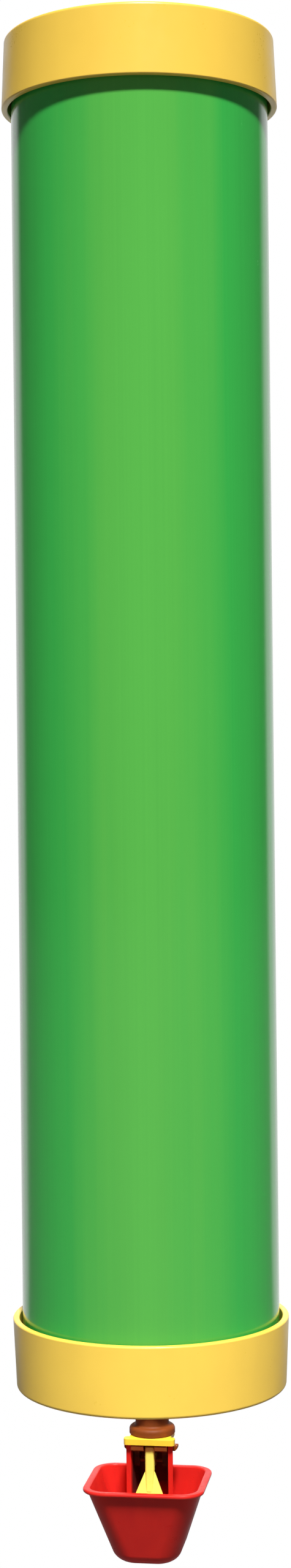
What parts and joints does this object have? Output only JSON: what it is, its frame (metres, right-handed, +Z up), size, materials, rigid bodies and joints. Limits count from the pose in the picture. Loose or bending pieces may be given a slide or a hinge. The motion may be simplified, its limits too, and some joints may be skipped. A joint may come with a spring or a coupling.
{
  "type": "chick waterer",
  "caption": "Hanging tube waterer for chicks: capped vertical pipe with a small cup, chimney and pecking trigger valve below it.",
  "frame": {"origin": "on the tube's axis at the underside of the drinking cup", "axes": "+Z up along the tube's axis, -Y the front that the cup's window and trigger face"},
  "size_m": [0.1182, 0.1182, 0.6465],
  "materials": {
    "green_pvc": "gloss extruded pipe",
    "yellow_pvc": "gloss moulded",
    "red_plastic": "satin moulded",
    "brown_plastic": "satin moulded",
    "clip_plastic": "satin moulded",
    "trigger_plastic": "gloss moulded",
    "white_plastic": "satin moulded",
    "black_rubber": "matte",
    "pin_steel": "drawn wire"
  },
  "bodies": {
    "tank": {"tube": "green_pvc", "bottom_cap": "yellow_pvc", "outer_washer": "black_rubber", "inner_washer": "black_rubber", "outer_nut": "brown_plastic", "lock_nut": "brown_plastic", "strainer": "white_plastic", "valve_body": "brown_plastic", "retaining_clip": "clip_plastic", "drinker_cup": "red_plastic", "hinge_pin": "brown_plastic", "valve_spring": "pin_steel"},
    "lid": {"top_cap": "yellow_pvc"},
    "lever": {"trigger": "trigger_plastic"},
    "valve": {"valve_pin": "pin_steel", "valve_seal": "black_rubber"}
  },
  "joints": [
    {"name": "cap_lift", "type": "slide", "parent": "tank", "child": "lid", "axis": [0, 0, 1], "range_m": [0, 0.06]},
    {"name": "valve_lift", "type": "slide", "parent": "tank", "child": "valve", "axis": [0, 0, 1], "range_m": [0, 0.0006], "stiffness_N_per_m": 10, "springref_m": -0.002, "deforming": ["valve_spring"]},
    {"name": "trigger_tilt", "type": "hinge", "parent": "tank", "child": "lever", "pos_m": [0, -0.003, 0.0386], "axis": [1, 0, 0], "range_deg": [0, 12]}
  ],
  "couplings": [
    {"joint": "trigger_tilt", "follows": "valve_lift", "rad_per_m": 333.33}
  ]
}
